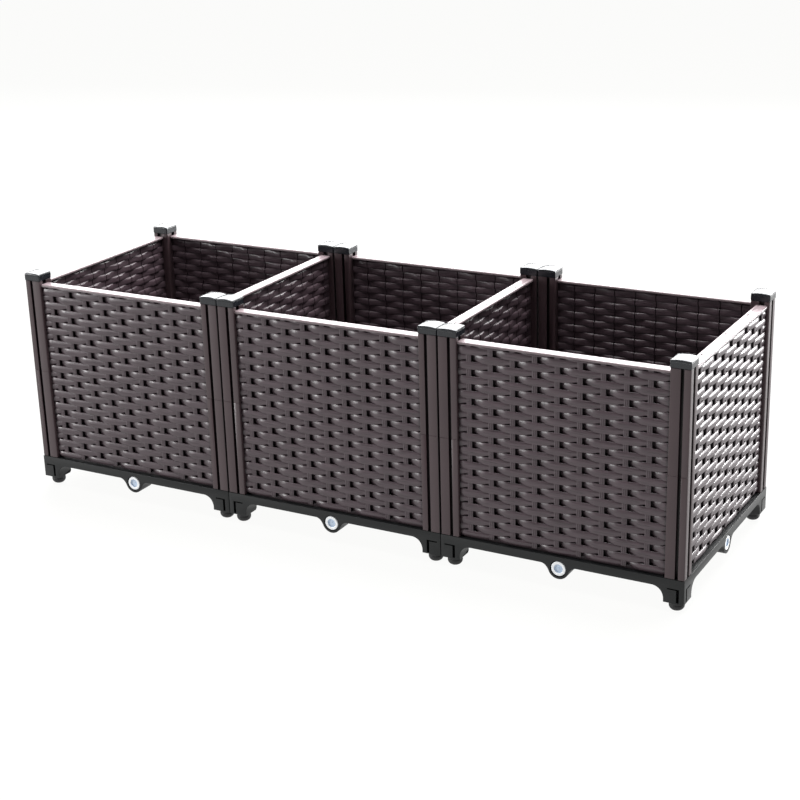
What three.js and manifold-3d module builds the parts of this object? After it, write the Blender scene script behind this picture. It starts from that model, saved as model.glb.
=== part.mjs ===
// Raised planter on legs: three square modules in one row, each with a footed tray, four corner posts with
// caps, and woven-look wall panels. Millimetres, +Z up, front is -Y, the row runs along X.
// The origin is on the ground, under the middle of the row.
import * as THREE from 'three';
import { mergeVertices } from 'three/addons/utils/BufferGeometryUtils.js';
import Module from 'manifold-3d';

const wasm = await Module();
wasm.setup();

// ---------------------------------------------------------------- driving dimensions
const fit = 0.3;                  // air left between parts that fit together
const over = 1;                   // cutting and joining shapes run past a face by this much
const pitch = 400;                // one module is a square of this side
const unitNames = ['left', 'middle', 'right'];

const footHeight = 16;
const footRadius = 12;
const footFlatRadius = 7;
const studRadius = 4.6;
const studLength = 10;
const footCentre = 17;            // from the two outer faces of a module

const stripBottom = 40;           // underside of the tray rim
const trayTop = 54;
const trayInset = 0.6;            // tray face behind the module boundary
const rimWidth = 33;
const floorTop = 44;
const flareReach = 50;            // where a leg's curve meets the rim
const flareHeight = 18;
const legNotch = 3;

const slotWidth = 4.3;            // clip slot moulded in the face of a leg
const slotStart = 20;             // from the leg's edge
const slitStart = 6;
const slitHeight = 2;
const slotDepth = 2.4;
const slotGap = 0.6;              // between the top of the slit and the rim

const outletHeight = 34.6;        // axis of the drain outlets
const bossRadius = 17;
const bossSpread = 28;
const bossTangent = 15.4;         // where the lobe leaves its fillets, from the outlet's axis
const tubeRadius = 15;
const boreRadius = 10;
const troughRadius = 11.5;
const troughReach = 160;
const blindWall = 6;              // left in front of an outlet that faces the next module
const boreOverlap = 5;            // bores run into the trough by this much
const plugRadius = 12.6;
const plugSeatRadius = 13.3;
const plugSeatDepth = 3.2;
const plugFlange = 2.6;
const plugStem = 20;
const plugStemRadius = 9.4;
const plugKnobRadius = 8.2;
const plugKnobDepth = 1.2;
const plugInset = 0.2;            // plug face behind the tray face
const plugRimWidth = 0.8;

const postInset = 1.2;
const postSide = 31;
const postTop = 378;
const postBore = 18;
const spigotSide = 24;
const socketFloor = 30;
const grooveWidth = 5;
const grooveDepth = 3;
const grooveShift = 2.8;          // front and back grooves sit off the middle of a post
const tongueWidth = 8;
const tongueReach = 4;
const tongueTopGap = 6;           // side tongues stop below the rail
const tongueFootInset = 4;        // lower tongue starts in from the wall's ends
const trayGrooveDepth = 5;

const capInset = 0.2;
const capSide = 32.8;
const capSkirt = 10.2;
const capRise = 5;
const capPlug = 12;

const outerWallDepth = 14;        // middle of a wall panel behind the module boundary
const dividerDepth = 16.7;        // the shared walls stand on the middle of their posts
const panelBottom = 57.5;
const railTop = 372.5;
const railThickness = 4;
const railWidth = 19;
const plateThickness = 12;
const stakeCount = 9;
const stakePitch = 36;
const stakeWidth = 8.6;
const stakeProud = 2.4;
const stakeShift = 6;             // the row of stakes sits a little to one side
const railHoleLength = 7;
const railHoleWidth = 2;
const railHoleDepth = 2;
const railHoleShift = 2;          // towards the inside of the planter
const railHolePitch = 3 * stakePitch;

const curveSteps = 4;             // straight pieces per quarter of a moulded curve
const roundSteps = 16;            // sides of a small round part

// ---------------------------------------------------------------- derived dimensions
const half = pitch / 2;
const postCentre = half - postInset - postSide / 2;
const postBottom = trayTop + fit;
const panelHalf = half - postInset - postSide - fit;
const capBottom = postTop + fit;
const capTop = capBottom + capSkirt;
const legSide = rimWidth - trayInset;

// ---------------------------------------------------------------- materials
function plastic(colour, roughness) {
  return new THREE.MeshStandardMaterial({ color: colour, roughness, metalness: 0 });
}
const trayPlastic = plastic(0x34393a, 0.6);
const postPlastic = plastic(0x645a5c, 0.55);
const panelPlastic = plastic(0x554a4e, 0.6);
const capPlastic = plastic(0x3a4046, 0.5);
const footRubber = plastic(0x161618, 0.85);
const plugPlastic = plastic(0xe6e8ea, 0.45);

// ---------------------------------------------------------------- helpers
function solid(geometry) {
  const bare = geometry.clone();
  bare.deleteAttribute('normal');
  bare.deleteAttribute('uv');
  const merged = mergeVertices(bare);
  return new wasm.Manifold(new wasm.Mesh({
    numProp: 3,
    vertProperties: Float32Array.from(merged.attributes.position.array),
    triVerts: Uint32Array.from(merged.index.array),
  }));
}

function geometryOf(body) {
  const result = body.getMesh();
  const geometry = new THREE.BufferGeometry();
  geometry.setAttribute('position', new THREE.BufferAttribute(Float32Array.from(result.vertProperties), 3));
  geometry.setIndex(new THREE.BufferAttribute(Uint32Array.from(result.triVerts), 1));
  geometry.computeVertexNormals();
  return geometry;
}

const planter = new THREE.Group();
planter.name = 'raised_planter';

function add(name, body, material) {
  const mesh = new THREE.Mesh(geometryOf(body), material);
  mesh.name = name;
  planter.add(mesh);
}

function block(x0, x1, y0, y1, z0, z1) {
  const geometry = new THREE.BoxGeometry(x1 - x0, y1 - y0, z1 - z0);
  geometry.translate((x0 + x1) / 2, (y0 + y1) / 2, (z0 + z1) / 2);
  return solid(geometry);
}

function centredBlock(x, y, sideX, sideY, z0, z1) {
  return block(x - sideX / 2, x + sideX / 2, y - sideY / 2, y + sideY / 2, z0, z1);
}

// a side profile (along the wall, up) pushed inwards from the -Y face of a module
function frontExtrusion(shape, y0, y1) {
  const outline = new THREE.Shape(shape.getPoints(curveSteps));
  const geometry = new THREE.ExtrudeGeometry(outline, { depth: y1 - y0, bevelEnabled: false });
  geometry.rotateX(Math.PI / 2);
  geometry.translate(0, y1, 0);
  return solid(geometry);
}

function rodAlongY(radius, y0, y1, z) {
  const geometry = new THREE.CylinderGeometry(radius, radius, y1 - y0, roundSteps);
  geometry.translate(0, (y0 + y1) / 2, z);
  return solid(geometry);
}

function rodUp(radius, x, y, z0, z1) {
  const geometry = new THREE.CylinderGeometry(radius, radius, z1 - z0, roundSteps);
  geometry.rotateX(Math.PI / 2);
  geometry.translate(x, y, (z0 + z1) / 2);
  return solid(geometry);
}

// (radius, height) points turned about the Y axis
function lathe(points) {
  return new THREE.LatheGeometry(points.map(([r, h]) => new THREE.Vector2(r, h)), roundSteps);
}

// quarter turns about the vertical axis, so one description serves all four sides
function turned(body, quarterTurns) {
  return body.rotate([0, 0, 90 * quarterTurns]);
}

function union(bodies) {
  return bodies.reduce((whole, body) => whole.add(body));
}

function cut(body, tools) {
  return tools.reduce((rest, tool) => rest.subtract(tool), body);
}

// ---------------------------------------------------------------- tray
// one leg seen from its outer face, standing at the left end of that face
function legShape() {
  const left = -half + trayInset;
  const right = left + legSide;
  const shape = new THREE.Shape();
  shape.moveTo(left, footHeight);
  shape.lineTo(right - legNotch, footHeight);
  shape.lineTo(right, footHeight + legNotch);
  shape.lineTo(right, stripBottom - flareHeight);
  shape.quadraticCurveTo(right + 2, stripBottom - 2, -half + flareReach, stripBottom);
  shape.lineTo(-half + flareReach, stripBottom + over);
  shape.lineTo(left, stripBottom + over);
  shape.closePath();
  return shape;
}

function bossShape() {
  const tangentZ = -Math.sqrt(bossRadius ** 2 - bossTangent ** 2);
  const startAngle = Math.atan2(tangentZ, -bossTangent);
  const endAngle = Math.atan2(tangentZ, bossTangent);
  const shape = new THREE.Shape();
  shape.moveTo(-bossSpread, stripBottom);
  shape.quadraticCurveTo(-bossSpread * 0.7, stripBottom - 1.5, -bossTangent, outletHeight + tangentZ);
  shape.absarc(0, outletHeight, bossRadius, startAngle, endAngle, false);
  shape.quadraticCurveTo(bossSpread * 0.7, stripBottom - 1.5, bossSpread, stripBottom);
  shape.lineTo(bossSpread, stripBottom + over);
  shape.lineTo(-bossSpread, stripBottom + over);
  shape.closePath();
  return shape;
}

// the L of slit and slot round the clip tab, cut into the outer face of one leg
function clipSlot(legSign, slotOnRight) {
  const legMiddle = legSign * (half - trayInset - legSide / 2);
  const direction = slotOnRight ? 1 : -1;
  const at = (distance) => legMiddle + direction * (distance - legSide / 2);
  const [slotA, slotB] = [at(slotStart), at(slotStart + slotWidth)].sort((a, b) => a - b);
  const [slitA, slitB] = [at(slitStart), at(slotStart + over)].sort((a, b) => a - b);
  const face = -half + trayInset;
  const top = stripBottom - slotGap;
  const slot = block(slotA, slotB, face - over, face + slotDepth, footHeight - over, top);
  const slit = block(slitA, slitB, face - over, face + slotDepth, top - slitHeight, top);
  return slot.add(slit);
}

// everything on one side of a tray, described for the front side and turned into place
function traySide(unit, side) {
  const face = -half + trayInset;
  const facesNeighbour = (side === 1 && unit < 2) || (side === 3 && unit > 0);
  const slotOnRight = (unit !== 1) === (side % 2 === 0);
  const wallDepth = side === 1 && unit < 2 ? dividerDepth : outerWallDepth;
  const hasWall = !(side === 3 && unit > 0);
  const parts = [
    frontExtrusion(legShape(), face, face + legSide),
    frontExtrusion(bossShape(), face, -half + rimWidth),
    rodAlongY(tubeRadius, -half + rimWidth - over, 0, outletHeight),
  ];
  const cuts = [clipSlot(-1, slotOnRight), clipSlot(1, slotOnRight)];
  const boreStart = facesNeighbour ? face + blindWall : face - over;
  cuts.push(rodAlongY(boreRadius, boreStart, -troughReach + boreOverlap, outletHeight));
  if (!facesNeighbour) {
    cuts.push(rodAlongY(plugSeatRadius, face - over, face + plugSeatDepth, outletHeight));
  }
  if (hasWall) {
    const middle = -half + wallDepth;
    const width = tongueWidth / 2 + fit;
    const end = panelHalf - tongueFootInset + over;
    cuts.push(block(-end, end, middle - width, middle + width, trayTop - trayGrooveDepth, trayTop + over));
  }
  const place = (body) => turned(body, side);
  return { parts: parts.map(place), cuts: cuts.map(place) };
}

function mirroredLeg(quarterTurns) {
  const face = -half + trayInset;
  return turned(frontExtrusion(legShape(), face, face + legSide).mirror([1, 0, 0]), quarterTurns);
}

function tray(unit) {
  const outer = half - trayInset;
  const inner = half - rimWidth;
  const rim = block(-outer, outer, -outer, outer, stripBottom, trayTop)
    .subtract(block(-inner, inner, -inner, inner, floorTop, trayTop + over));
  const sides = [0, 1, 2, 3].map((side) => traySide(unit, side));
  const below = union([rim, ...sides.flatMap((side) => side.parts), ...[0, 1, 2, 3].map(mirroredLeg)]);
  const headroom = block(-inner, inner, -inner, inner, floorTop, trayTop + over);
  const corners = [];
  for (const sx of [-1, 1]) {
    for (const sy of [-1, 1]) {
      const side = spigotSide + 2 * fit;
      corners.push(centredBlock(sx * postCentre, sy * postCentre, side, side, socketFloor, trayTop + over));
      const centre = half - footCentre;
      const top = footHeight + studLength + fit;
      corners.push(rodUp(studRadius + fit, sx * centre, sy * centre, footHeight - over, top));
    }
  }
  const troughs = [0, 1].flatMap((turn) => [
    turned(rodAlongY(troughRadius, -troughReach, troughReach, outletHeight), turn),
    turned(block(-troughRadius, troughRadius, -troughReach, troughReach, outletHeight, floorTop + over), turn),
  ]);
  return cut(below, [headroom, ...corners, ...troughs, ...sides.flatMap((side) => side.cuts)]);
}

// ---------------------------------------------------------------- corner post
// sx and sy tell the corner; the walls arrive on the faces that look inwards
function post(unit, sx, sy) {
  const low = socketFloor + fit;
  const body = centredBlock(0, 0, postSide, postSide, postBottom, postTop)
    .add(centredBlock(0, 0, spigotSide, spigotSide, low, postBottom + over));
  const cuts = [centredBlock(0, 0, postBore, postBore, low - over, postTop + over)];
  const face = postSide / 2;
  const endPost = (unit === 0 && sx < 0) || (unit === 2 && sx > 0);
  const shift = (endPost ? sx : -sx) * grooveShift;
  const cutAbove = postTop + over;
  const cutBelow = postBottom - over;
  const slotHalf = tongueWidth / 2 + fit;
  const slotReach = tongueReach + fit;
  const grooveHalf = grooveWidth / 2;

  // slot for the front or back wall
  const wallY = sy * (outerWallDepth - postInset - face) * -1;
  const wallFace = -sx * face;
  const xRange = [wallFace, wallFace + sx * slotReach].sort((a, b) => a - b);
  cuts.push(block(xRange[0] - (sx > 0 ? over : 0), xRange[1] + (sx > 0 ? 0 : over),
    wallY - slotHalf, wallY + slotHalf, cutBelow, cutAbove));

  // slot for a side wall, where this module has one
  const sideWall = !(unit > 0 && sx < 0);
  const sideDepth = unit < 2 && sx > 0 ? dividerDepth : outerWallDepth;
  const sideX = sideWall ? sx * (face + postInset - sideDepth) : shift;
  const sideHalf = sideWall ? slotHalf : grooveHalf;
  const sideReach = sideWall ? slotReach : grooveDepth;
  const innerFace = -sy * face;
  const yRange = [innerFace, innerFace + sy * sideReach].sort((a, b) => a - b);
  cuts.push(block(sideX - sideHalf, sideX + sideHalf,
    yRange[0] - (sy > 0 ? over : 0), yRange[1] + (sy > 0 ? 0 : over), cutBelow, cutAbove));

  // shadow grooves in the two outward faces
  cuts.push(centredBlock(shift, sy * face, grooveWidth, 2 * grooveDepth, cutBelow, cutAbove));
  cuts.push(centredBlock(sx * face, 0, 2 * grooveDepth, grooveWidth, cutBelow, cutAbove));
  return cut(body, cuts);
}

// ---------------------------------------------------------------- cap with a pillow top
function cap() {
  const cells = 4;
  const side = capSide / 2;
  const positions = [];
  const index = [];
  const count = cells + 1;
  const height = (i, j) => {
    const u = 2 * i / cells - 1;
    const v = 2 * j / cells - 1;
    return capTop + capRise * (1 - u ** 2) * (1 - v ** 2) ** 0.5;
  };
  for (const top of [true, false]) {
    for (let j = 0; j < count; j += 1) {
      for (let i = 0; i < count; i += 1) {
        const x = side * (2 * i / cells - 1);
        const y = side * (2 * j / cells - 1);
        positions.push(x, y, top ? height(i, j) : capBottom);
      }
    }
  }
  const layer = count * count;
  const quad = (a, b, c, d) => index.push(a, b, c, a, c, d);
  for (let j = 0; j < cells; j += 1) {
    for (let i = 0; i < cells; i += 1) {
      const a = j * count + i;
      quad(a, a + 1, a + count + 1, a + count);
      quad(layer + a + count, layer + a + count + 1, layer + a + 1, layer + a);
    }
  }
  const border = [];
  for (let i = 0; i < cells; i += 1) border.push(i);
  for (let j = 0; j < cells; j += 1) border.push(j * count + cells);
  for (let i = cells; i > 0; i -= 1) border.push(cells * count + i);
  for (let j = cells; j > 0; j -= 1) border.push(j * count);
  border.forEach((a, k) => {
    const b = border[(k + 1) % border.length];
    quad(layer + a, layer + b, b, a);
  });
  const geometry = new THREE.BufferGeometry();
  geometry.setAttribute('position', new THREE.Float32BufferAttribute(positions, 3));
  geometry.setIndex(index);
  const plugSide = postBore - 2 * fit;
  return solid(geometry).add(centredBlock(0, 0, plugSide, plugSide, capBottom - capPlug, capBottom + over));
}

// ---------------------------------------------------------------- foot
function foot() {
  const edge = footRadius - footFlatRadius;
  const points = [[0, 0], [footFlatRadius, 0]];
  for (const angle of [45, 90]) {
    const a = THREE.MathUtils.degToRad(angle);
    points.push([footFlatRadius + edge * Math.sin(a), edge * (1 - Math.cos(a))]);
  }
  points.push([footRadius, footHeight - fit], [studRadius, footHeight - fit]);
  points.push([studRadius, footHeight + studLength - fit], [0, footHeight + studLength - fit]);
  return solid(lathe(points).rotateX(Math.PI / 2));
}

// ---------------------------------------------------------------- drain plug
// turned about its axis; the flange looks towards -Y once it is placed on the front side
function drainPlug() {
  const points = [
    [0, plugKnobDepth], [plugKnobRadius, plugKnobDepth], [plugKnobRadius + plugRimWidth, 0], [plugRadius, 0],
    [plugRadius, plugFlange], [plugStemRadius, plugFlange], [plugStemRadius, plugStem], [0, plugStem],
  ];
  return solid(lathe(points).translate(0, -half + trayInset + plugInset, outletHeight));
}

// ---------------------------------------------------------------- wall panel
// described as a front wall whose middle plane is at y = 0; lean tells the side the stakes are moved to
function panel(lean) {
  const plate = plateThickness / 2;
  const stakeTop = railTop - railThickness + over;
  const parts = [
    block(-panelHalf, panelHalf, -plate, plate, panelBottom, stakeTop),
    block(-panelHalf, panelHalf, -railWidth / 2, railWidth / 2, railTop - railThickness, railTop),
    block(-panelHalf - tongueReach, panelHalf + tongueReach, -tongueWidth / 2, tongueWidth / 2,
      panelBottom, railTop - tongueTopGap),
    block(-panelHalf + tongueFootInset, panelHalf - tongueFootInset, -tongueWidth / 2, tongueWidth / 2,
      trayTop - trayGrooveDepth + fit, panelBottom + over),
  ];
  for (let i = 0; i < stakeCount; i += 1) {
    const x = (i - (stakeCount - 1) / 2) * stakePitch + lean * stakeShift;
    parts.push(centredBlock(x, 0, stakeWidth, plateThickness + 2 * stakeProud, panelBottom, stakeTop));
  }
  const holeLow = railTop - railHoleDepth;
  const holes = [-1, 0, 1].map((k) => centredBlock(k * railHolePitch, railHoleShift, railHoleLength,
    railHoleWidth, holeLow, railTop + over));
  return cut(union(parts), holes);
}

// ---------------------------------------------------------------- assembly
unitNames.forEach((unitName, unit) => {
  const centreX = (unit - 1) * pitch;
  add(`tray_${unitName}`, tray(unit).translate([centreX, 0, 0]), trayPlastic);

  for (const [rowName, sy] of [['front', -1], ['back', 1]]) {
    for (const [columnName, sx] of [['left', -1], ['right', 1]]) {
      const corner = `${unitName}_${rowName}_${columnName}`;
      const x = centreX + sx * postCentre;
      const y = sy * postCentre;
      const capShift = half - capInset - capSide / 2;
      const footShift = half - footCentre;
      add(`post_${corner}`, post(unit, sx, sy).translate([x, y, 0]), postPlastic);
      add(`cap_${corner}`, cap().translate([centreX + sx * capShift, sy * capShift, 0]), capPlastic);
      add(`foot_${corner}`, foot().translate([centreX + sx * footShift, sy * footShift, 0]), footRubber);
    }
    const wall = panel(-1).rotate([0, 0, sy < 0 ? 0 : 180]);
    const wallY = sy * (half - outerWallDepth);
    add(`panel_${unitName}_${rowName}`, wall.translate([centreX, wallY, 0]), panelPlastic);
    const plug = drainPlug().rotate([0, 0, sy < 0 ? 0 : 180]);
    add(`drain_plug_${unitName}_${rowName}`, plug.translate([centreX, 0, 0]), plugPlastic);
  }
});

const rowHalf = pitch * unitNames.length / 2;
for (const [endName, sx] of [['left', -1], ['right', 1]]) {
  const wall = panel(1).rotate([0, 0, 90 * sx]);
  add(`panel_end_${endName}`, wall.translate([sx * (rowHalf - outerWallDepth), 0, 0]), panelPlastic);
  const plug = drainPlug().rotate([0, 0, 90 * sx]);
  add(`drain_plug_end_${endName}`, plug.translate([sx * pitch, 0, 0]), plugPlastic);
}
for (const [dividerName, boundary] of [['left', -half], ['right', half]]) {
  const wall = panel(-1).rotate([0, 0, 90]);
  add(`panel_divider_${dividerName}`, wall.translate([boundary - dividerDepth, 0, 0]), panelPlastic);
}

export default planter;
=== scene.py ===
# Visual model of the raised planter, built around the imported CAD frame. +Z is up and the front is -Y.
# Lengths are named in millimetres and turned into Blender's metres with MM.
import math
import random

import bmesh
import bpy
from mathutils import Matrix, Vector


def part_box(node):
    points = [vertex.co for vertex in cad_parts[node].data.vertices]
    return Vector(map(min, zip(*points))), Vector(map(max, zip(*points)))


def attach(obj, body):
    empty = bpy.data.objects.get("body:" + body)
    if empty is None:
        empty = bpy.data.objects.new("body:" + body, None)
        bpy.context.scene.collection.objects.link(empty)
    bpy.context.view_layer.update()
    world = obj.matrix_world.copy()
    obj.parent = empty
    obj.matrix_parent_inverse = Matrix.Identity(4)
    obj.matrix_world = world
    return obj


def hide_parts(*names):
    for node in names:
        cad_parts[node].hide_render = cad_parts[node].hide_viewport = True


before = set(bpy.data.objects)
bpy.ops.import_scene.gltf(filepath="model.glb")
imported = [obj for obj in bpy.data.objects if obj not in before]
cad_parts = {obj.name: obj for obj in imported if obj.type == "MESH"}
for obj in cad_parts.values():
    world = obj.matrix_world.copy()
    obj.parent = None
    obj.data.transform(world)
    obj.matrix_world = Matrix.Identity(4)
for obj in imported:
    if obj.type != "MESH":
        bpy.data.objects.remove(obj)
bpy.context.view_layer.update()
BODY = "planter"
MM = 0.001
UNITS = ("left", "middle", "right")
random.seed(7)

PITCH = 400.0                             # side of one module
HALF = PITCH / 2
OUTER_WALL_DEPTH = 14.0                   # middle of an outer wall behind the module boundary
DIVIDER_DEPTH = 16.7                      # the same for a wall that two modules share

# ---------------------------------------------------------------- mesh helpers
def new_object(name, verts, faces, smooth_angle=40):
    mesh = bpy.data.meshes.new(name)
    mesh.from_pydata([tuple(v) for v in verts], [], faces)
    mesh.update()
    return finish_mesh(name, mesh, smooth_angle)


def shade_painted_object(name, verts, faces, painted_tones, smooth_angle):
    """As new_object, with a share of full colour for each point, a painted shade that darkens hollows."""
    mesh = bpy.data.meshes.new(name)
    mesh.from_pydata(verts, [], faces)
    mesh.attributes.new("painted_shade", "FLOAT", "POINT").data.foreach_set("value", painted_tones)
    return finish_mesh(name, mesh, smooth_angle)


def finish_mesh(name, mesh, smooth_angle=40):
    """Welds the mesh, turns its faces outwards, smooths all but its sharp edges and makes it an object."""
    work = bmesh.new()
    work.from_mesh(mesh)
    bmesh.ops.remove_doubles(work, verts=work.verts, dist=1e-6)
    bmesh.ops.recalc_face_normals(work, faces=work.faces)
    limit = math.radians(smooth_angle)
    for face in work.faces:
        face.smooth = True
    for edge in work.edges:
        edge.smooth = len(edge.link_faces) != 2 or edge.calc_face_angle(0) < limit
    work.to_mesh(mesh)
    work.free()
    thing = bpy.data.objects.new(name, mesh)
    bpy.context.scene.collection.objects.link(thing)
    return thing


def loft(verts, faces, rings):
    """Adds a closed tube through rings of the same length, with flat ends."""
    start = len(verts)
    count = len(rings[0])
    for ring in rings:
        verts.extend(ring)
    for r in range(len(rings) - 1):
        a = start + r * count
        b = a + count
        for i in range(count):
            j = (i + 1) % count
            faces.append((a + i, a + j, b + j, b + i))
    faces.append(tuple(range(start + count - 1, start - 1, -1)))
    last = start + (len(rings) - 1) * count
    faces.append(tuple(range(last, last + count)))


def box(verts, faces, low, high):
    """Adds a block between two corners given in millimetres."""
    ring = [(low[0], low[1]), (high[0], low[1]), (high[0], high[1]), (low[0], high[1])]
    loft(verts, faces, [[(x * MM, y * MM, z * MM) for x, y in ring] for z in (low[2], high[2])])


def lathe(name, profile, segments):
    """A solid of revolution about Z; the profile, in millimetres, runs from the axis back to the axis."""
    verts = []
    faces = []
    inner = profile[1:-1]
    for r, z in inner:
        for k in range(segments):
            a = 2 * math.pi * k / segments
            verts.append((r * MM * math.cos(a), r * MM * math.sin(a), z * MM))
    for i in range(len(inner) - 1):
        for k in range(segments):
            n = (k + 1) % segments
            a = i * segments
            b = a + segments
            faces.append((a + k, a + n, b + n, b + k))
    for end, base in ((profile[0], 0), (profile[-1], (len(inner) - 1) * segments)):
        tip = len(verts)
        verts.append((0, 0, end[1] * MM))
        for k in range(segments):
            faces.append((tip, base + k, base + (k + 1) % segments))
    return new_object(name, verts, faces, 35)


def arc(cx, cy, radius, start, end, steps):
    points = []
    for k in range(steps + 1):
        a = math.radians(start + (end - start) * k / steps)
        points.append((cx + radius * math.cos(a), cy + radius * math.sin(a)))
    return points


def circle(cx, cy, radius, sides):
    return arc(cx, cy, radius, 0, 360 - 360 / sides, sides - 1)


def bezier(p0, p1, p2, steps):
    points = []
    for k in range(steps + 1):
        t = k / steps
        a, b, c = (1 - t) ** 2, 2 * t * (1 - t), t * t
        points.append((a * p0[0] + b * p1[0] + c * p2[0], a * p0[1] + b * p1[1] + c * p2[1]))
    return points


def turned(points, quarters):
    """The points, turned about the origin by quarter turns."""
    a = math.radians(90 * quarters)
    return [(x * math.cos(a) - y * math.sin(a), x * math.sin(a) + y * math.cos(a)) for x, y in points]


def slab(loops, depth, bevel):
    """Mesh of a flat outline with holes and rounded edges; its thickness runs along Z from 0."""
    curve = bpy.data.curves.new("outline", "CURVE")
    curve.dimensions = "2D"
    curve.fill_mode = "BOTH"
    for loop in loops:
        spline = curve.splines.new("POLY")
        spline.points.add(len(loop) - 1)
        for point, (x, y) in zip(spline.points, loop):
            point.co = (x * MM, y * MM, 0, 1)
        spline.use_cyclic_u = True
    curve.extrude = (depth / 2 - bevel) * MM
    curve.bevel_depth = bevel * MM
    curve.bevel_resolution = 1
    curve.offset = -bevel * MM
    holder = bpy.data.objects.new("outline", curve)
    bpy.context.scene.collection.objects.link(holder)
    bpy.context.view_layer.update()
    mesh = bpy.data.meshes.new_from_object(holder.evaluated_get(bpy.context.evaluated_depsgraph_get()))
    bpy.data.objects.remove(holder)
    bpy.data.curves.remove(curve)
    mesh.transform(Matrix.Translation((0, 0, depth / 2 * MM)))
    return mesh


def joined(name, meshes, smooth_angle):
    """One object from several meshes."""
    work = bmesh.new()
    for mesh in meshes:
        work.from_mesh(mesh)
    mesh = bpy.data.meshes.new(name)
    work.to_mesh(mesh)
    work.free()
    return finish_mesh(name, mesh, smooth_angle)


def carved(name, solids, tools):
    """Union of closed solids less the tools."""
    base = solids[0]
    steps = [(thing, "UNION") for thing in solids[1:]] + [(thing, "DIFFERENCE") for thing in tools]
    for thing, operation in steps:
        modifier = base.modifiers.new(operation, "BOOLEAN")
        modifier.operation = operation
        modifier.solver = "MANIFOLD"
        modifier.object = thing
    bpy.context.view_layer.update()
    mesh = bpy.data.meshes.new_from_object(base.evaluated_get(bpy.context.evaluated_depsgraph_get()))
    for thing in solids + tools:
        bpy.data.objects.remove(thing)
    mesh.name = name
    return mesh


# ---------------------------------------------------------------- materials
CLOUD_SCALE = 14                          # size of the slow mottling in the colour
STREAK_STRETCH = (0.035, 0.6, 1)          # streaks run along a strand
STREAK_SHADE = (0.66, 1.42)               # darkest and lightest streak, against the plain colour
ROUGHNESS_SPREAD = (-0.06, 0.08)
NOISE_SPREAD = (0.3, 0.7)                 # where nearly all values of a noise texture lie
RELIEF = 0.4                              # height of the grain at full bump strength


def material(name, colour, roughness, bump=0.2, grain=900, streak=None, variation=0.12, specular=0.5,
             with_painted_shade=False):
    """Moulded plastic: mottled colour, fine grain, and where asked streaks along X and painted shade in the
    hollows.
    """
    made = bpy.data.materials.new(name)
    made.use_nodes = True
    nodes = made.node_tree.nodes
    links = made.node_tree.links
    shader = nodes["Principled BSDF"]
    shader.inputs["Specular IOR Level"].default_value = specular
    place = nodes.new("ShaderNodeTexCoord")

    def noise(scale, detail, stretch=(1, 1, 1)):
        mapping = nodes.new("ShaderNodeMapping")
        mapping.inputs["Scale"].default_value = stretch
        links.new(place.outputs["Object"], mapping.inputs["Vector"])
        texture = nodes.new("ShaderNodeTexNoise")
        texture.inputs["Scale"].default_value = scale
        texture.inputs["Detail"].default_value = detail
        links.new(mapping.outputs["Vector"], texture.inputs["Vector"])
        return texture.outputs["Fac"]

    def remap(value, low, high):
        ranged = nodes.new("ShaderNodeMapRange")
        ranged.inputs["From Min"].default_value = NOISE_SPREAD[0]
        ranged.inputs["From Max"].default_value = NOISE_SPREAD[1]
        ranged.inputs["To Min"].default_value = low
        ranged.inputs["To Max"].default_value = high
        links.new(value, ranged.inputs["Value"])
        return ranged.outputs["Result"]

    def times(a, b):
        node = nodes.new("ShaderNodeMath")
        node.operation = "MULTIPLY"
        links.new(a, node.inputs[0])
        links.new(b, node.inputs[1])
        return node.outputs[0]

    shade = remap(noise(CLOUD_SCALE, 4), 1 - variation, 1 + variation)
    if streak:
        height = noise(streak, 5, STREAK_STRETCH)
        shade = times(shade, remap(height, *STREAK_SHADE))
    else:
        height = noise(grain, 3)
    # painted shade: darkens the colour by the point attribute that the meshes carry
    if with_painted_shade:
        attribute = nodes.new("ShaderNodeAttribute")
        attribute.attribute_name = "painted_shade"
        shade = times(shade, attribute.outputs["Fac"])
    tint = nodes.new("ShaderNodeVectorMath")
    tint.operation = "SCALE"
    tint.inputs[0].default_value = colour
    links.new(shade, tint.inputs["Scale"])
    links.new(tint.outputs["Vector"], shader.inputs["Base Color"])
    gloss = remap(height, roughness + ROUGHNESS_SPREAD[0], roughness + ROUGHNESS_SPREAD[1])
    links.new(gloss, shader.inputs["Roughness"])
    relief = nodes.new("ShaderNodeBump")
    relief.inputs["Strength"].default_value = bump
    relief.inputs["Distance"].default_value = RELIEF * MM
    links.new(height, relief.inputs["Height"])
    links.new(relief.outputs["Normal"], shader.inputs["Normal"])
    return made


def linear(hexcode):
    values = [int(hexcode[i:i + 2], 16) / 255 for i in (0, 2, 4)]
    return [v / 12.92 if v <= 0.04045 else ((v + 0.055) / 1.055) ** 2.4 for v in values]


# The wall and post plastics take painted shade from each mesh's point attribute.
WALL = material("wall_plastic_painted_shade", linear("42363b"), 0.32, bump=0.4, streak=900, variation=0.08, with_painted_shade=True)
# The rail is moulded with the walls but painted lighter, a painted highlight on its top.
RAIL_PAINTED_HIGHLIGHT = material("rail_plastic_painted_highlight", linear("6b5f62"), 0.35, bump=0.12, variation=0.06)
POST = material("post_plastic_painted_shade", linear("3e3033"), 0.36, bump=0.12, variation=0.07, specular=0.45,
                with_painted_shade=True)
TRAY = material("tray_plastic", linear("0f1112"), 0.42, bump=0.2, variation=0.1, specular=0.35)
CAP = material("cap_plastic", linear("15181d"), 0.24, bump=0.08, variation=0.06)
RUBBER = material("foot_rubber", linear("0e0e10"), 0.6, bump=0.3, grain=1500, variation=0.15)
PLUG = material("plug_plastic", linear("eceef0"), 0.35, bump=0.06, variation=0.03)
PLUG_CENTRE = material("plug_centre_plastic", linear("bccbdd"), 0.3, bump=0.1, variation=0.08)


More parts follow.
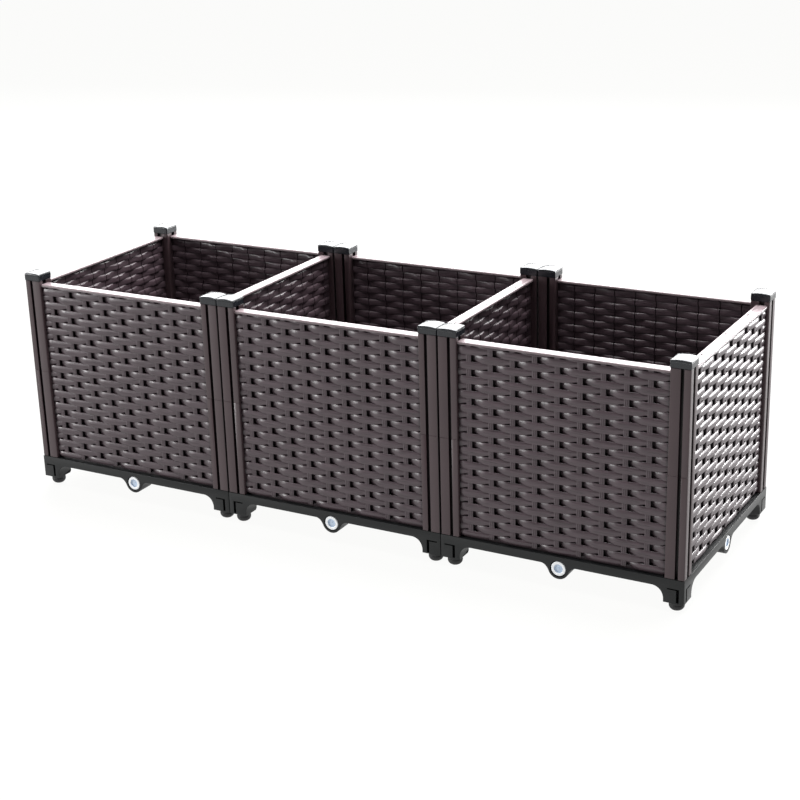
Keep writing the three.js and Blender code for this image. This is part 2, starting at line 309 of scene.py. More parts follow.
def dress(piece, look, body=BODY):
    """Gives a piece its material, unless its mesh has one already, and its place in the frame."""
    if not piece.data.materials:
        piece.data.materials.append(look)
    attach(piece, body)


def place_copy(shape, name, node, matrix, look, body=BODY):
    """Stands a copy of a shared shape in for a CAD node."""
    piece = bpy.data.objects.new(name, shape.data)
    bpy.context.scene.collection.objects.link(piece)
    piece.matrix_world = matrix
    dress(piece, look, body)
    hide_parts(node)


# ---------------------------------------------------------------- woven wall
STAKES = 9
STAKE_PITCH = 36.0
STAKE_SHIFT = -6.0                        # the row of stakes sits a little to one side
STAKE_HALF = 4.3
STAKE_LEVEL = 7.4                         # outer face of a stake, out from the middle plane
ROWS = 28
ROW_PITCH = 11.5
ROW_DROP = 2.5                            # the lowest row starts this far below the wall's foot
SLOT = 1.4                                # open slot beside each stake, where a strand comes out

# A strand comes out beside the stake at u = 0, passes over the one at u = 1 and ends at u = 2.
BIRTH = (STAKE_HALF + SLOT) / STAKE_PITCH
PEAK = 0.8                                # where along its span a strand stands furthest out
DEEP = 1.7                                # level where it comes out
CREST = 7.9                               # level at the peak
FALL = 1.8                                # how far it has dropped again at its end
STRAND_THICK = 2.2
STRAND_BACK = 0.2                         # no strand reaches further in than this level
STRAND_UP = 6.3                           # half height of a strand above and below its row's middle
STRAND_DOWN = 6.4
STRAND_STEP = 3                           # length between two sections
STRAND_SHORTEST = 6
LEVEL_SPREAD = 0.15                       # strands differ in level by up to this much
END_RISE = 2.9                            # how far the lower edge lifts where a strand ends
RISE_SPAN = (1.42, 1.86)                  # where along the span that happens
# Painted shade: a strand is darker where it comes out of its slot and reaches full colour further along.
START_PAINTED_SHADE = 0.55                        # share of full colour where a strand comes out
PAINTED_SHADE_FADES_BY = 0.55                      # where along the span it has its full colour
CROWN = 1.0                               # how far a strand's middle stands out from its edges
# Painted shadow: strands darken in a band beside each post.
END_PAINTED_SHADOW = 4.5                            # width of the dark band beside a post

INNER_LEVEL = 4.6
INNER_SWING = 1.7                         # strands inside wave in and out by this much
INNER_HALF = 5.75                         # half height of a strand inside
INNER_GROWTH = 0.05                       # and how much more it is at a crest
INNER_SWELL = 1.5                         # how much rounder its top edge is at a crest
INNER_CROWN = 0.3
INNER_GAP = 0.8                           # half width of the upright grooves inside
INNER_STEPS = 10

WALL_HALF = 167.5
WALL_BOTTOM = 57.5
RAIL_TOP = 372.5
RAIL_THICK = 4.0
RAIL_HALF = 9.5
RAIL_SINK = 0.4                           # strands and stakes run up into the rail by this much
# rounded edge of a strand: (out from its face, down from its top edge, share of full colour, a painted shade
# that darkens where the edge turns in)
EDGE = ((-1.2, 0.0, 0.5), (-0.65, 0.12, 0.9), (-0.2, 0.5, 1.0), (0.0, 1.2, 1.0))
# Painted shade on faces inside the weave, which the light does not reach.
HIDDEN_PAINTED_SHADE = 0.12                             # share of full colour on faces inside the weave


def smoothstep(low, high, value):
    t = min(1, max(0, (value - low) / (high - low)))
    return t * t * (3 - 2 * t)


def span_level(u):
    """Level of the face of an outer strand along its span."""
    if u < PEAK:
        return DEEP + (CREST - DEEP) * math.sin(math.pi / 2 * max(0, u - BIRTH) / (PEAK - BIRTH))
    return CREST - FALL * (1 - math.cos(math.pi / 2 * (u - PEAK) / (2 - PEAK)))


def row_centre(row):
    return WALL_BOTTOM - ROW_DROP + (row + 0.5) * ROW_PITCH


def strand_ring(x, centre, level, up, down, back, share, swell, crown, side):
    """Cross-section of a crowned strand; side is -1 on the outer face, 1 on the inner."""
    trim = 0.6
    inset = 0.3
    up = min(up, RAIL_TOP - RAIL_THICK + RAIL_SINK - centre)
    down = min(down, centre - WALL_BOTTOM + trim)
    # The last value of each point is a painted shade: darker in the creases, on the back faces and where the
    # strand's share is low.
    section = [(level + out * swell, up - fall * swell, painted_tone) for out, fall, painted_tone in EDGE]
    for part in (0.5, 0, -0.5):
        section.append((level + crown * (1 - part * part), (up - down) / 2 + part * (up + down) / 2, 1.0))
    section += [(level + out, fall - down, painted_tone) for out, fall, painted_tone in reversed(EDGE)]
    section += [(back, inset - down, HIDDEN_PAINTED_SHADE), (back, up - inset, HIDDEN_PAINTED_SHADE)]
    ring = [(x * MM, side * out * MM, (centre + z) * MM) for out, z, painted_tone in section]
    return ring, [painted_tone * share for out, z, painted_tone in section]


def strand(verts, faces, painted_tones, sections, side):
    rings = []
    for section in sections:
        ring, ring_painted_tones = strand_ring(*section, side)
        rings.append(ring)
        painted_tones += ring_painted_tones
    loft(verts, faces, rings)


def outer_strands(verts, faces, painted_tones, stakes, mirror):
    """Each strand comes out beside one stake, rises over the next and ends at the one after."""
    phase = 0 if mirror else 1
    for row in range(ROWS):
        centre = row_centre(row)
        under = [x for i, x in enumerate(stakes) if (i + row + phase) % 2 == 0]
        for start in [under[0] - 2 * STAKE_PITCH] + under:
            low = max(-WALL_HALF, start + STAKE_HALF + SLOT)
            high = min(WALL_HALF, start + 2 * STAKE_PITCH)
            if high - low < STRAND_SHORTEST:
                continue
            lift = random.uniform(-LEVEL_SPREAD, LEVEL_SPREAD)
            steps = max(4, round((high - low) / STRAND_STEP))
            sections = []
            for k in range(steps + 1):
                x = low + (high - low) * k / steps
                u = (x - start) / STAKE_PITCH
                level = span_level(u) + lift
                down = STRAND_DOWN - END_RISE * smoothstep(*RISE_SPAN, u)
                back = max(level - STRAND_THICK, STRAND_BACK)
                # Painted shade where the strand comes out of its slot, and a painted shadow beside each post.
                share = START_PAINTED_SHADE + (1 - START_PAINTED_SHADE) * smoothstep(BIRTH, PAINTED_SHADE_FADES_BY, u)
                share *= HIDDEN_PAINTED_SHADE + (1 - HIDDEN_PAINTED_SHADE) * smoothstep(0, END_PAINTED_SHADOW, WALL_HALF - abs(x))
                along = -x if mirror else x
                sections.append((along, centre, level, STRAND_UP, down, back, share, 1, CROWN))
            strand(verts, faces, painted_tones, sections, -1)


def outer_stakes(verts, faces, painted_tones, stakes, mirror):
    """Upright stakes with two fine lines each; their sides and fine lines carry painted shade."""
    way = -1 if mirror else 1
    # Painted shade on the stake's sides and in its fine lines.
    half = [
        (STAKE_HALF, 0.4 - STAKE_LEVEL, HIDDEN_PAINTED_SHADE),
        (STAKE_HALF, -1.3, HIDDEN_PAINTED_SHADE),
        (STAKE_HALF, -0.6, 0.7),
        (STAKE_HALF - 0.5, 0, 1.0),
        (1.75, 0.1, 1.0),
        (1.45, -0.4, 0.45),
        (1.15, 0.1, 1.0),
    ]
    section = [(-dx, out, painted_tone) for dx, out, painted_tone in half] + half[::-1]
    bottom = WALL_BOTTOM + 0.8
    top = RAIL_TOP - RAIL_THICK + RAIL_SINK
    for x in stakes:
        rings = []
        outline = [((way * x + dx) * MM, -(STAKE_LEVEL + out) * MM) for dx, out, painted_tone in section]
        for z in (bottom, top):
            rings.append([(along, across, z * MM) for along, across in outline])
            painted_tones += [painted_tone for dx, out, painted_tone in section]
        loft(verts, faces, rings)


def inner_strands(verts, faces, painted_tones, stakes, mirror):
    """Shallow strands cut through by an upright groove at each stake."""
    edges = [-WALL_HALF] + stakes + [WALL_HALF]
    for row in range(ROWS):
        centre = row_centre(row)
        way = 1 if row % 2 == 0 else -1
        for i in range(len(edges) - 1):
            low = edges[i] + (INNER_GAP if i else 0)
            high = edges[i + 1] - (INNER_GAP if i < len(edges) - 2 else 0)
            sections = []
            for k in range(INNER_STEPS + 1):
                x = low + (high - low) * k / INNER_STEPS
                wave = way * math.cos(math.pi * (x - stakes[0]) / STAKE_PITCH)
                level = INNER_LEVEL + INNER_SWING * wave
                half_high = INNER_HALF + INNER_GROWTH * wave
                swell = 1 + INNER_SWELL * smoothstep(0.1, 0.9, wave)
                along = -x if mirror else x
                sections.append(
                    (along, centre, level, half_high, half_high, STRAND_BACK, 1.0, swell, INNER_CROWN))
            strand(verts, faces, painted_tones, sections, 1)


def core_and_tongues(verts, faces, painted_tones):
    """Core that closes the weave, and the tongues that stand in the posts and the tray; both are painted dark
    as shade.
    """
    corners = 8                           # points of a block
    core = 0.9
    core_bottom, core_top = 59, 369
    tongue = 4
    side_bottom, side_top = 58, 366
    foot_bottom, foot_top = 49.4, 59.5
    reach = 4
    root = 2
    box(verts, faces, (-WALL_HALF, -core, core_bottom), (WALL_HALF, core, core_top))
    # painted shade on the core and the tongues
    painted_tones += [HIDDEN_PAINTED_SHADE] * corners
    box(verts, faces, (-WALL_HALF - reach, -tongue, side_bottom), (-WALL_HALF + root, tongue, side_top))
    box(verts, faces, (WALL_HALF - root, -tongue, side_bottom), (WALL_HALF + reach, tongue, side_top))
    box(verts, faces, (-WALL_HALF + reach, -tongue, foot_bottom), (WALL_HALF - reach, tongue, foot_top))
    painted_tones += [0.5] * 3 * corners


def wall_mesh(name, mirror):
    verts = []
    faces = []
    painted_tones = []
    stakes = [(i - (STAKES - 1) / 2) * STAKE_PITCH + STAKE_SHIFT for i in range(STAKES)]
    outer_strands(verts, faces, painted_tones, stakes, mirror)
    outer_stakes(verts, faces, painted_tones, stakes, mirror)
    inner_strands(verts, faces, painted_tones, stakes, mirror)
    core_and_tongues(verts, faces, painted_tones)
    piece = shade_painted_object(name, verts, faces, painted_tones, 50)
    piece.data.materials.append(WALL)
    return piece


def rail_mesh(name):
    """Flat top rail with rounded edges, a fine line and three small slots in it."""
    line_y = 3.4
    line_half, line_deep = 0.3, 0.4
    slot_half, slot_deep = 0.95, 2.4
    slot_length, slot_ramp = 3.4, 0.3     # half length of a slot, and of its sloping ends
    lip = 0.25
    edge = 2.2
    chamfer = 0.4
    end_length, end_pinch = 0.4, 0.3      # the rail narrows a little right at its ends
    slots = [k * 3 * STAKE_PITCH for k in (-1, 0, 1)]
    stops = [-WALL_HALF, -WALL_HALF + end_length]
    for middle in slots:
        stops += [middle - slot_length - slot_ramp, middle - slot_length]
        stops += [middle + slot_length, middle + slot_length + slot_ramp]
    stops += [WALL_HALF - end_length, WALL_HALF]
    rings = []
    for x in stops:
        slotted = any(abs(x - middle) < slot_length + 0.1 for middle in slots)
        half, deep = (slot_half, slot_deep) if slotted else (line_half, line_deep)
        pinch = end_pinch if abs(x) == WALL_HALF else 0
        top = RAIL_TOP - pinch
        wide = RAIL_HALF - pinch
        low = RAIL_TOP - RAIL_THICK
        front = [(-wide + chamfer, low), (-wide, low + chamfer)]
        front += arc(-wide + edge, top - edge, edge, 180, 90, 5)
        line = [
            (line_y - half - lip, top),
            (line_y - half, top - deep),
            (line_y + half, top - deep),
            (line_y + half + lip, top),
        ]
        section = front + line + [(-y, z) for y, z in reversed(front)]
        rings.append([(x * MM, y * MM, z * MM) for y, z in section])
    verts = []
    faces = []
    loft(verts, faces, rings)
    piece = new_object(name, verts, faces, 35)
    piece.data.materials.append(RAIL_PAINTED_HIGHLIGHT)
    return piece


def place_wall(node, quarter_turns, woven_shape, rail_shape):
    low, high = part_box(node)
    middle = (low + high) / 2
    turn = Matrix.Rotation(math.radians(90 * quarter_turns), 4, "Z")
    woven = bpy.data.objects.new(f"woven_{node}", woven_shape.data)
    rail = bpy.data.objects.new(f"rail_{node}", rail_shape.data)
    for piece in (woven, rail):
        bpy.context.scene.collection.objects.link(piece)
        piece.matrix_world = Matrix.Translation((middle.x, middle.y, 0)) @ turn
        dress(piece, WALL)
    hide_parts(node)


def place_walls():
    plain = wall_mesh("wall_shape", False)
    mirrored = wall_mesh("wall_shape_mirrored", True)
    rail = rail_mesh("rail_shape")
    for unit in UNITS:
        place_wall(f"panel_{unit}_front", 0, plain, rail)
        place_wall(f"panel_{unit}_back", 2, plain, rail)
    place_wall("panel_end_right", 1, mirrored, rail)
    place_wall("panel_end_left", 3, mirrored, rail)
    place_wall("panel_divider_left", 3, plain, rail)
    place_wall("panel_divider_right", 3, plain, rail)
    for shape in (plain, mirrored, rail):
        bpy.data.objects.remove(shape)


place_walls()

# ---------------------------------------------------------------- corner posts
POST_HALF = 15.5
POST_INSET = 1.2                          # post face behind the module boundary
POST_CORNER = 1.6
POST_BOTTOM = 54.3
POST_TOP = 378.0
SEAM = 216.0                              # where the two halves of a post meet
GROOVE = (2.5, 7.0)                       # half width and depth
WIDE_GROOVE = (4.0, 7.0)
WALL_SLOT = (4.3, 4.3)
GROOVE_SHIFT = 2.8                        # front and back grooves sit off the middle of a post


def grooved_square(grooves):
    """Outline of a square post; grooves lists (centre, half width, depth) for the -Y, +X, +Y and -X faces."""
    points = []
    middle = -POST_HALF + POST_CORNER
    for face in range(4):
        local = arc(middle, middle, POST_CORNER, 180, 270, 4)
        for centre, wide, deep in sorted(grooves[face]):
            side = [(wide + 0.5, 0), (wide + 0.15, 0.15), (wide, 0.5), (wide, 1.4), (wide, deep)]
            local += [(centre - dx, -POST_HALF + dy) for dx, dy in side]
            local += [(centre + dx, -POST_HALF + dy) for dx, dy in reversed(side)]
        points += turned(local, face)
    return points


def post_grooves(unit, row, column, centre_y, end_post):
    """The grooves of one post's four faces, as grooved_square takes them."""
    shift = (column if end_post else -column) * GROOVE_SHIFT
    wall_offset = HALF - OUTER_WALL_DEPTH - abs(centre_y) / MM
    side_depth = DIVIDER_DEPTH if unit < 2 and column > 0 else OUTER_WALL_DEPTH
    side_offset = column * (POST_INSET + POST_HALF - side_depth)
    outer_y, inner_y = (0, 2) if row < 0 else (2, 0)
    outer_x, inner_x = (3, 1) if column < 0 else (1, 3)
    along = (1, 1, -1, -1)                # which way a face's own x runs in the world
    grooves = [[], [], [], []]
    grooves[outer_y].append((shift * along[outer_y], *GROOVE))
    grooves[outer_x].append((0, *(WIDE_GROOVE if end_post else GROOVE)))
    grooves[inner_x].append((row * wall_offset * along[inner_x], *WALL_SLOT))
    has_side_wall = unit == 0 or column > 0
    if has_side_wall:
        grooves[inner_y].append((side_offset * along[inner_y], *WALL_SLOT))
    else:
        grooves[inner_y].append((shift * along[inner_y], *GROOVE))
    return grooves


def place_post(node, unit, row, column):
    low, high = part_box(node)
    centre = (low + high) / 2
    end_post = (unit == 0 and column < 0) or (unit == 2 and column > 0)
    outline = grooved_square(post_grooves(unit, row, column, centre.y, end_post))
    levels = [
        (POST_BOTTOM, 0.5),
        (POST_BOTTOM + 0.5, 0),
        (SEAM - 0.5, 0),
        (SEAM, 0.45),
        (SEAM + 0.5, 0),
        (POST_TOP - 0.4, 0),
        (POST_TOP, 0.4),
    ]
    rings = []
    for z, inset in levels:
        s = 1 - inset / POST_HALF
        rings.append([(centre.x + x * s * MM, centre.y + y * s * MM, z * MM) for x, y in outline])
    painted_tones = []
    for x, y in outline:
        # Painted shade darkens the grooves with their depth.
        inside = POST_HALF - max(abs(x), abs(y))
        painted_tone = 1 - (1 - HIDDEN_PAINTED_SHADE) * smoothstep(0.3, 1.4, inside)
        if not end_post:
            # painted shade darkens the narrow gap between two posts as well
            painted_tone *= 1 - (1 - HIDDEN_PAINTED_SHADE) * smoothstep(POST_HALF - 1.0, POST_HALF - 0.2, column * x)
        painted_tones.append(painted_tone)
    verts = []
    faces = []
    loft(verts, faces, rings)
    piece = shade_painted_object(f"shaft_{node}", verts, faces, painted_tones * len(rings), 35)
    dress(piece, POST)
    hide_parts(node)


# ---------------------------------------------------------------- caps
CAP_HALF = 15.9
CAP_CORNER = 1.3
CAP_SPLITS = 8                            # pieces of a straight side, so that the top can curve
CAP_BOTTOM = 378.3
CAP_EDGE = 389.1
CAP_STEP = 0.8                            # height of the small rounding at the edge of the top
CAP_RISE = 2.5                            # height of the pillow above that


def cap_top(x, y):
    u = x / CAP_HALF
    v = y / CAP_HALF
    return CAP_EDGE + CAP_STEP + CAP_RISE * (1 - u * u) * (1 - 0.5 * v * v)


def cap_shape():
    """Square cap with a shadow line under its edge and a pillow top."""
    quarter = arc(CAP_HALF - CAP_CORNER, CAP_HALF - CAP_CORNER, CAP_CORNER, 0, 90, 5)
    straight = 2 * (CAP_HALF - CAP_CORNER)
    end_x, end_y = quarter[-1]
    quarter += [(end_x - straight * k / CAP_SPLITS, end_y) for k in range(1, CAP_SPLITS)]
    outline = []
    for quarters in range(4):
        outline += turned(quarter, quarters)
    skirt = [
        (CAP_BOTTOM, 0.5),
        (CAP_BOTTOM + 0.5, 0),
        (CAP_EDGE - 2.1, 0),
        (CAP_EDGE - 1.9, 0.25),
        (CAP_EDGE - 1.6, 0.25),
        (CAP_EDGE - 1.4, 0),
    ]
    rings = []
    for z, inset in skirt:
        s = 1 - inset / CAP_HALF
        rings.append([(x * s, y * s, z) for x, y in outline])
    top = [(1.0, 0.8), (0.985, 0.3)] + [(share, 0) for share in (0.955, 0.85, 0.7, 0.52, 0.34, 0.16)]
    for share, drop in top:
        rings.append([(x * share, y * share, cap_top(x * share, y * share) - drop) for x, y in outline])
    verts = []
    faces = []
    loft(verts, faces, [[(x * MM, y * MM, z * MM) for x, y, z in ring] for ring in rings])
    return new_object("cap_shape", verts, faces, 35)


# ---------------------------------------------------------------- feet and plugs
FOOT_RADIUS = 12.0
FOOT_DOME = 8.4                           # radius of the rounding under a foot
STUD_RADIUS = 4.6
STUD_TOP = 25.7


def foot_shape():
    """Domed foot with a shadow line, and the stud that holds it in the leg."""
    profile = [(0, 0), (3.4, 0)]
    for degrees in range(10, 91, 10):
        a = math.radians(degrees)
        profile.append((FOOT_RADIUS - FOOT_DOME * (1 - math.sin(a)), FOOT_DOME * (1 - math.cos(a))))
    profile += [
        (FOOT_RADIUS, 9.5),
        (FOOT_RADIUS - 0.4, 10.1),
        (FOOT_RADIUS - 0.4, 11.3),
        (FOOT_RADIUS, 11.9),
        (FOOT_RADIUS, 15.2),
        (FOOT_RADIUS - 0.5, 15.7),
        (STUD_RADIUS, 15.7),
        (STUD_RADIUS, STUD_TOP),
        (0, STUD_TOP),
    ]
    return lathe("foot_shape", profile, 48)


PLUG_RADIUS = 11.8
PLUG_CENTRE_RADIUS = 7.0
PLUG_FLANGE = 2.6
STEM_RADIUS = 9.4


def plug_shape():
    """Turned about Z with its face at z = 0 looking along +Z: a ring, a recessed centre and a stem."""
    profile = [
        (0, -1.9),
        (1.1, -1.9),
        (1.5, -2.4),
        (5.4, -2.6),
        (6.8, -2.3),
        (7.1, -0.5),
        (7.5, -0.12),
        (8.0, 0),
        (10.7, 0),
        (11.4, -0.15),
        (11.75, -0.6),
        (PLUG_RADIUS, -1.2),
        (PLUG_RADIUS, -2.4),
        (11.5, -PLUG_FLANGE),
        (STEM_RADIUS, -PLUG_FLANGE),
        (STEM_RADIUS, -18.6),
        (8.6, -19.8),
        (0, -19.8),
    ]
    shape = lathe("plug_shape", profile, 72)
    shape.data.materials.append(PLUG)
    shape.data.materials.append(PLUG_CENTRE)
    for face in shape.data.polygons:
        if face.center.xy.length < PLUG_CENTRE_RADIUS * MM and face.center.z > -3 * MM:
            face.material_index = 1
    return shape


def place_corners():
    """Post, cap and foot at every corner of every module."""
    cap = cap_shape()
    foot = foot_shape()
    for unit, unit_name in enumerate(UNITS):
        for row, row_name in ((-1, "front"), (1, "back")):
            for column, column_name in ((-1, "left"), (1, "right")):
                key = f"{unit_name}_{row_name}_{column_name}"
                place_post(f"post_{key}", unit, row, column)
                for shape, kind, look in ((cap, "cap", CAP), (foot, "foot", RUBBER)):
                    low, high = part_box(f"{kind}_{key}")
                    middle = (low + high) / 2
                    matrix = Matrix.Translation((middle.x, middle.y, 0))
                    place_copy(shape, f"shaped_{kind}_{key}", f"{kind}_{key}", matrix, look)
    for shape in (cap, foot):
        bpy.data.objects.remove(shape)


def place_plug(shape, node, out):
    """The plug's face lies on the far side of its CAD box, looking along out."""
    low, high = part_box(node)
    middle = (low + high) / 2
    half = (high - low) / 2
    face = middle + Vector((out.x * half.x, out.y * half.y, 0))
    matrix = Matrix.Translation(face) @ out.to_track_quat("Z", "Y").to_matrix().to_4x4()
    place_copy(shape, f"turned_{node}", node, matrix, PLUG, node)


def place_plugs():
    plug = plug_shape()
    for unit in UNITS:
        place_plug(plug, f"drain_plug_{unit}_front", Vector((0, -1, 0)))
        place_plug(plug, f"drain_plug_{unit}_back", Vector((0, 1, 0)))
    place_plug(plug, "drain_plug_end_left", Vector((-1, 0, 0)))
    place_plug(plug, "drain_plug_end_right", Vector((1, 0, 0)))
    bpy.data.objects.remove(plug)


place_corners()
place_plugs()

# ---------------------------------------------------------------- trays
SIDE = 199.4                              # tray face, out from the module's middle
LEG = 32.4
LEG_NOTCH = 3.0
STRIP_BOTTOM = 40.0
TRAY_TOP = 54.0
FLOOR_TOP = 44.0
OUTLET_Z = 34.6                           # axis of the drain outlets
FOOT_TOP = 16.0
CLIP_DEPTH = 14.0
FLARE_END = 150.0                         # where a leg's curve meets the strip
FLARE_DROP = 18.0
LOBE_RADIUS = 17.0
LOBE_START = 28.0                         # where the fillets beside the outlet begin
LOBE_TANGENT = (15.4, 7.2)                # where they meet the lobe, from the outlet's axis
BORE_RADIUS = 10.0
SEAT_RADIUS = 13.3
SEAT_DEPTH = 3.2
TUBE_RADIUS = 15.0
TROUGH_RADIUS = 11.5
TROUGH_REACH = 160.0
PAST = 1.0                                # cutting shapes run past a face by this much


def side_outline():
    """One side of a tray: two legs, the strip between them and the lobe around the outlet."""
    left = -SIDE
    right = left + LEG
    across, down = LOBE_TANGENT
    half = [(left, TRAY_TOP), (left, FOOT_TOP), (right - LEG_NOTCH, FOOT_TOP), (right, FOOT_TOP + LEG_NOTCH)]
    half += bezier(
        (right, STRIP_BOTTOM - FLARE_DROP), (right + 2, STRIP_BOTTOM - 2), (-FLARE_END, STRIP_BOTTOM), 14)
    half += bezier(
        (-LOBE_START, STRIP_BOTTOM), (-19.6, STRIP_BOTTOM - 1.5), (-across, OUTLET_Z - down), 8)
    start = 180 + math.degrees(math.atan2(down, across)) + 5
    half += arc(0, OUTLET_Z, LOBE_RADIUS, start, 270, 12)
    return half + [(-x, z) for x, z in reversed(half[:-1])]


def clip_loop(leg_sign, slot_on_right):
    """Angled clip slot in the face of a leg: a slit along its top and a wider slot down one side."""
    middle = leg_sign * (SIDE - LEG / 2)
    way = 1 if slot_on_right else -1
    start, slot, end = [middle + way * (distance - LEG / 2) for distance in (6, 20, 24.3)]
    top = STRIP_BOTTOM - 0.6
    slit = top - 2.0
    foot = FOOT_TOP + 1.6
    return [(start, top), (start, slit), (slot, slit), (slot, foot), (end, foot), (end, top)]


def upright(loops, side, inner_y, depth, bevel):
    """Solid of an outline standing on one side of the tray, from inner_y outwards by its depth."""
    mesh = slab(loops, depth, bevel)
    stand = Matrix.Rotation(math.radians(90), 4, "X")
    turn = Matrix.Rotation(math.radians(90 * side), 4, "Z")
    mesh.transform(turn @ Matrix.Translation((0, inner_y * MM, 0)) @ stand)
    return finish_mesh("upright", mesh)


def tray_rim(unit):
    """The four sides with their legs, less the clip slots and the recesses for the plugs."""
    solids = []
    tools = []
    for side in range(4):
        neighbour = (side == 1 and unit < 2) or (side == 3 and unit > 0)
        slot_on_right = (unit != 1) == (side % 2 == 0)
        loops = [side_outline()]
        if not neighbour:
            loops.append(circle(0, OUTLET_Z, BORE_RADIUS, 72))
            seat = circle(0, OUTLET_Z, SEAT_RADIUS, 72)
            tools.append(upright([seat], side, -SIDE + SEAT_DEPTH, SEAT_DEPTH + PAST, 0))
        solids.append(upright(loops, side, -SIDE + LEG, LEG, 0.5))
        for leg_sign in (-1, 1):
            clip = clip_loop(leg_sign, slot_on_right)
            tools.append(upright([clip], side, -SIDE + CLIP_DEPTH, CLIP_DEPTH + PAST, 0))
    return carved("tray_rim", solids, tools)


def rod(radius, length, axis):
    """Round bar along X or Y at the height of the outlets."""
    rings = []
    for end in (-length / 2, length / 2):
        ring = circle(0, OUTLET_Z, radius, 48)
        if axis == "Y":
            rings.append([(x * MM, end * MM, z * MM) for x, z in ring])
        else:
            rings.append([(end * MM, -x * MM, z * MM) for x, z in ring])
    verts = []
    faces = []
    loft(verts, faces, rings)
    return new_object("rod", verts, faces)


def block(low, high):
    verts = []
    faces = []
    box(verts, faces, low, high)
    return new_object("block", verts, faces)


def tray_floor():
    """Floor plate with two crossing drain troughs, each running out into a bored tube."""
    inner = SIDE - LEG + 0.2
    far = inner + PAST
    above = 60
    solids = [block((-inner, -inner, STRIP_BOTTOM), (inner, inner, FLOOR_TOP))]
    tools = []
    for axis in ("Y", "X"):
        solids.append(rod(TUBE_RADIUS, 2 * inner, axis))
        tools.append(rod(TROUGH_RADIUS, 2 * TROUGH_REACH, axis))
    for x, y in ((TROUGH_RADIUS, TROUGH_REACH), (TROUGH_REACH, TROUGH_RADIUS)):
        tools.append(block((-x, -y, OUTLET_Z), (x, y, above)))
    tools.append(block((-far, -far, FLOOR_TOP), (far, far, above)))
    for axis in ("Y", "X"):
        tools.append(rod(BORE_RADIUS, 2 * inner + 4, axis))
    return carved("tray_floor", solids, tools)


def place_trays():
    floor_mesh = tray_floor()
    for unit, unit_name in enumerate(UNITS):
        tray = joined(f"moulded_tray_{unit_name}", [floor_mesh, tray_rim(unit)], 25)
        tray.matrix_world = Matrix.Translation(((unit - 1) * PITCH * MM, 0, 0))
        dress(tray, TRAY)
        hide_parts(f"tray_{unit_name}")


place_trays()

# ---------------------------------------------------------------- stage, light and camera
def stage_floor():
    size = 30.0
    cells = 6
    verts = []
    faces = []
    for j in range(cells + 1):
        for i in range(cells + 1):
            verts.append((-size / 2 + size * i / cells, -size / 2 + size * j / cells, 0))
    for j in range(cells):
        for i in range(cells):
            a = j * (cells + 1) + i
            faces.append((a, a + 1, a + cells + 2, a + cells + 1))
    ground = new_object("stage_floor", verts, faces)
    look = bpy.data.materials.new("stage_paper")
    look.use_nodes = True
    nodes = look.node_tree.nodes
    links = look.node_tree.links
    shader = nodes["Principled BSDF"]
    shader.inputs["Roughness"].default_value = 0.9
    shader.inputs["Specular IOR Level"].default_value = 0.1
    texture = nodes.new("ShaderNodeTexNoise")
    texture.inputs["Scale"].default_value = 3
    ramp = nodes.new("ShaderNodeMapRange")
    ramp.inputs["To Min"].default_value = 0.02
    ramp.inputs["To Max"].default_value = 0.03
    links.new(texture.outputs["Fac"], ramp.inputs["Value"])
    links.new(ramp.outputs["Result"], shader.inputs["Base Color"])
    shader.inputs["Emission Color"].default_value = (1, 1, 0.99, 1)
    shader.inputs["Emission Strength"].default_value = 0.95
    ground.data.materials.append(look)


def area_light(name, position, target, size, power):
    data = bpy.data.lights.new(name, "AREA")
    data.shape = "RECTANGLE"
    data.size, data.size_y = size
    data.energy = power
    lamp = bpy.data.objects.new(name, data)
    bpy.context.scene.collection.objects.link(lamp)
    lamp.location = position
    lamp.rotation_euler = (Vector(target) - Vector(position)).to_track_quat("-Z", "Y").to_euler()


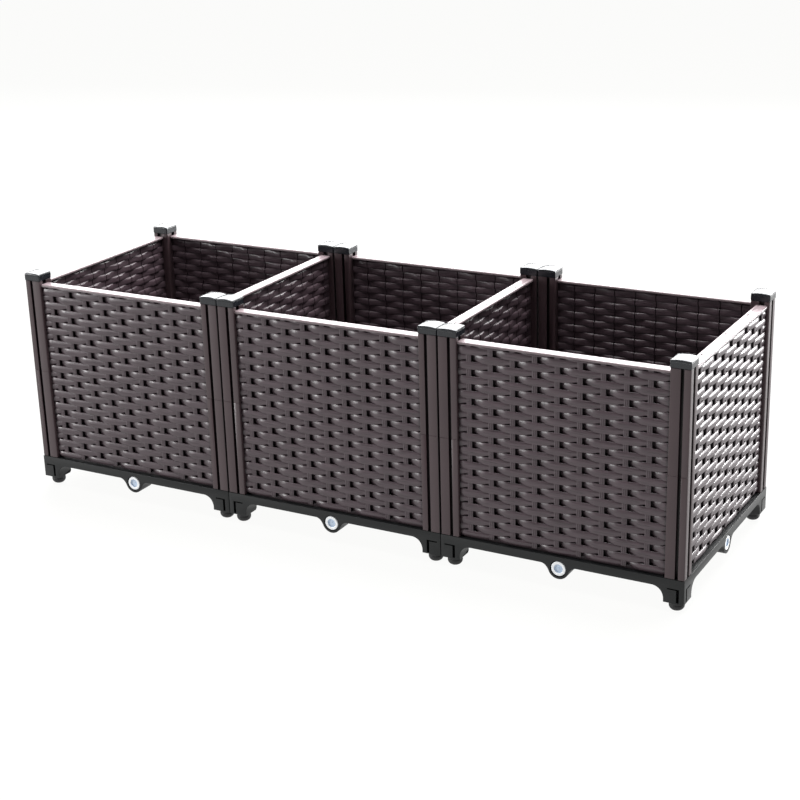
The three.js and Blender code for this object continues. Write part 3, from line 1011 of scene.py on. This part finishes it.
def studio_world():
    """Soft fill light, with a pale backdrop where the room itself is seen."""
    world = bpy.data.worlds.new("studio")
    world.use_nodes = True
    nodes = world.node_tree.nodes
    links = world.node_tree.links
    fill = nodes["Background"]
    fill.inputs["Color"].default_value = (1, 1, 1, 1)
    fill.inputs["Strength"].default_value = 0.22
    backdrop = nodes.new("ShaderNodeBackground")
    backdrop.inputs["Color"].default_value = (1, 1, 0.99, 1)
    backdrop.inputs["Strength"].default_value = 0.93
    seen = nodes.new("ShaderNodeLightPath")
    mix = nodes.new("ShaderNodeMixShader")
    links.new(seen.outputs["Is Camera Ray"], mix.inputs["Fac"])
    links.new(fill.outputs["Background"], mix.inputs[1])
    links.new(backdrop.outputs["Background"], mix.inputs[2])
    links.new(mix.outputs["Shader"], nodes["World Output"].inputs["Surface"])
    bpy.context.scene.world = world


def place_camera():
    position = Vector((1.3047, -2.2830, 1.1139))
    azimuth, elevation, roll = (math.radians(v) for v in (119.32, -19.52, -1.66))
    focal = 1647.6                        # in units of a picture 800 wide
    level = Vector((math.cos(azimuth), math.sin(azimuth), 0))
    forward = level * math.cos(elevation) + Vector((0, 0, math.sin(elevation)))
    level_right = forward.cross(Vector((0, 0, 1))).normalized()
    level_up = level_right.cross(forward)
    right = math.cos(roll) * level_right + math.sin(roll) * level_up
    up = -math.sin(roll) * level_right + math.cos(roll) * level_up
    matrix = Matrix((right, up, -forward)).transposed().to_4x4()
    matrix.translation = position
    data = bpy.data.cameras.new("camera")
    data.sensor_width = 36
    data.lens = focal / 800 * data.sensor_width
    data.clip_end = 100
    camera = bpy.data.objects.new("camera", data)
    bpy.context.scene.collection.objects.link(camera)
    camera.matrix_world = matrix
    bpy.context.scene.camera = camera


stage_floor()
area_light("key_left", (-3.7, -2.8, 0.85), (0, 0, 0.2), (1.2, 1.2), 102)
area_light("right_back", (2.6, 2.8, 0.2), (0.6, 0, 0.2), (1.4, 0.38), 110)
area_light("back_sky", (-0.8, 3.2, 2.1), (0, 0, 0.37), (6.0, 2.3), 440)
area_light("top_back", (0, 0.9, 3.2), (0, 0.1, 0.3), (3.6, 1.4), 380)
area_light("top_front", (0, -0.6, 3.0), (0, 0, 0.3), (2.4, 0.7), 60)
studio_world()
bpy.context.scene.view_settings.view_transform = "Standard"
place_camera()
